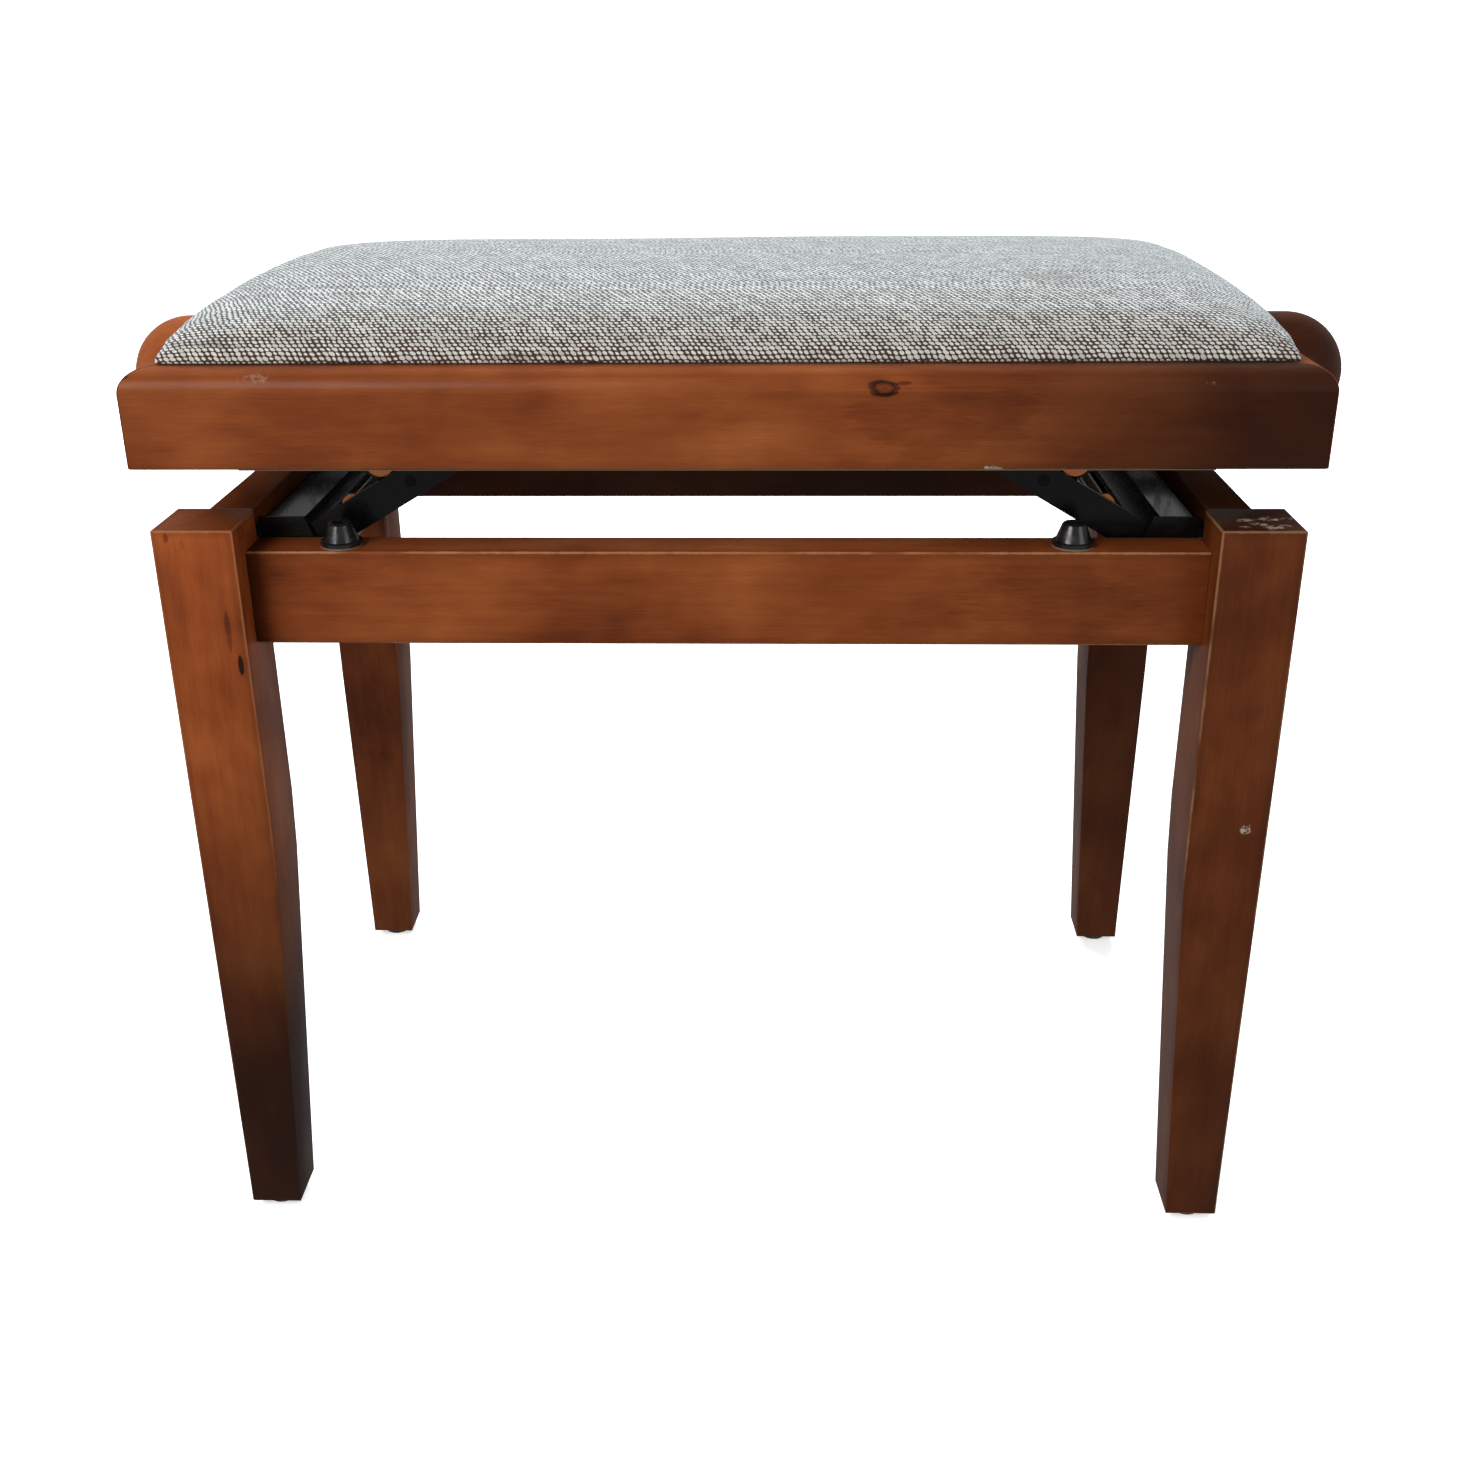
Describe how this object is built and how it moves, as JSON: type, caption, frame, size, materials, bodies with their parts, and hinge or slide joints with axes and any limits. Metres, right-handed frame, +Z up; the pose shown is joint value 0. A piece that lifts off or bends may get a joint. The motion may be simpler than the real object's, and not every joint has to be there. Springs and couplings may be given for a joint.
{
  "type": "piano bench",
  "caption": "Height-adjustable piano bench: tapered wooden legs, upholstered seat, side knobs turning a twin-thread spindle that lifts the seat on steel arms.",
  "frame": {"origin": "on the floor, under the middle of the bench", "axes": "+X along the bench between the knobs, -Y towards the player's side seen in front, +Z up"},
  "size_m": [0.668, 0.345, 0.5111],
  "materials": {
    "base_wood": "satin lacquer, walnut stain",
    "seat_wood": "satin lacquer, walnut stain",
    "knob_wood": "satin lacquer, walnut stain",
    "plain_wood": "unfinished",
    "board": "unfinished plywood",
    "upholstery": "coarse basket weave",
    "black_rubber": "glossy",
    "glide_plastic": "matte",
    "black_steel": "gloss black",
    "bright_steel": "satin",
    "brass": "satin"
  },
  "bodies": {
    "base": {"leg_dowels": "plain_wood", "front_left_leg": "base_wood", "rear_left_leg": "base_wood", "front_right_leg": "base_wood", "rear_right_leg": "base_wood", "front_apron": "base_wood", "rear_apron": "base_wood", "left_apron": "base_wood", "right_apron": "base_wood", "front_left_bumper": "black_rubber", "front_right_bumper": "black_rubber", "rear_left_bumper": "black_rubber", "rear_right_bumper": "black_rubber", "front_left_glide": "glide_plastic", "front_right_glide": "glide_plastic", "rear_left_glide": "glide_plastic", "rear_right_glide": "glide_plastic", "base_pivot_pins": "bright_steel", "tray_screws": "bright_steel", "left_tray": "black_steel", "right_tray": "black_steel"},
    "seat": {"front_seat_rail": "seat_wood", "rear_seat_rail": "seat_wood", "left_seat_rail": "seat_wood", "right_seat_rail": "seat_wood", "front_cleat": "plain_wood", "rear_cleat": "plain_wood", "board_screws": "bright_steel", "seat_board": "board", "cushion": "upholstery", "seat_brackets": "black_steel", "bracket_screws": "bright_steel", "seat_pivot_pins": "bright_steel", "left_bush": "brass", "right_bush": "brass"},
    "spindle": {"spindle": "bright_steel", "left_knob": "knob_wood", "right_knob": "knob_wood", "thrust_collars": "bright_steel"},
    "left_nut": {"left_nut": "brass", "left_cross_bar": "bright_steel"},
    "left_arms": {"left_front_arm": "black_steel", "left_rear_arm": "black_steel", "left_arm_web": "black_steel", "left_mid_studs": "brass", "left_arm_tie": "bright_steel"},
    "left_links": {"left_front_link": "black_steel", "left_rear_link": "black_steel", "left_link_tie": "bright_steel"},
    "right_nut": {"right_nut": "brass", "right_cross_bar": "bright_steel"},
    "right_arms": {"right_front_arm": "black_steel", "right_rear_arm": "black_steel", "right_arm_web": "black_steel", "right_mid_studs": "brass", "right_arm_tie": "bright_steel"},
    "right_links": {"right_front_link": "black_steel", "right_rear_link": "black_steel", "right_link_tie": "bright_steel"}
  },
  "joints": [
    {"name": "seat_lift", "type": "slide", "parent": "base", "child": "seat", "axis": [0, 0, 1], "range_m": [-0.028, 0.048]},
    {"name": "knob_turn", "type": "hinge", "parent": "seat", "child": "spindle", "pos_m": [0, 0, 0.4475], "axis": [1, 0, 0], "range_deg": [-2520.1, 4320.1]},
    {"name": "left_nut_slide", "type": "slide", "parent": "seat", "child": "left_nut", "axis": [-1, 0, 0], "range_m": [-0.021, 0.036]},
    {"name": "left_arm_swing", "type": "hinge", "parent": "base", "child": "left_arms", "pos_m": [-0.225, 0, 0.3775], "axis": [0, -1, 0], "range_deg": [-12.46, 21.36]},
    {"name": "left_link_swing", "type": "hinge", "parent": "seat", "child": "left_links", "pos_m": [-0.225, 0, 0.458], "axis": [0, 1, 0], "range_deg": [-12.46, 21.36]},
    {"name": "right_nut_slide", "type": "slide", "parent": "seat", "child": "right_nut", "axis": [1, 0, 0], "range_m": [-0.021, 0.036]},
    {"name": "right_arm_swing", "type": "hinge", "parent": "base", "child": "right_arms", "pos_m": [0.225, 0, 0.3775], "axis": [0, 1, 0], "range_deg": [-12.46, 21.36]},
    {"name": "right_link_swing", "type": "hinge", "parent": "seat", "child": "right_links", "pos_m": [0.225, 0, 0.458], "axis": [0, -1, 0], "range_deg": [-12.46, 21.36]}
  ],
  "couplings": [
    {"joint": "knob_turn", "follows": "seat_lift", "rad_per_m": 1570.8},
    {"joint": "left_nut_slide", "follows": "seat_lift", "ratio": 0.75},
    {"joint": "left_arm_swing", "follows": "seat_lift", "rad_per_m": 7.7667},
    {"joint": "left_link_swing", "follows": "seat_lift", "rad_per_m": 7.7667},
    {"joint": "right_nut_slide", "follows": "seat_lift", "ratio": 0.75},
    {"joint": "right_arm_swing", "follows": "seat_lift", "rad_per_m": 7.7667},
    {"joint": "right_link_swing", "follows": "seat_lift", "rad_per_m": 7.7667}
  ]
}
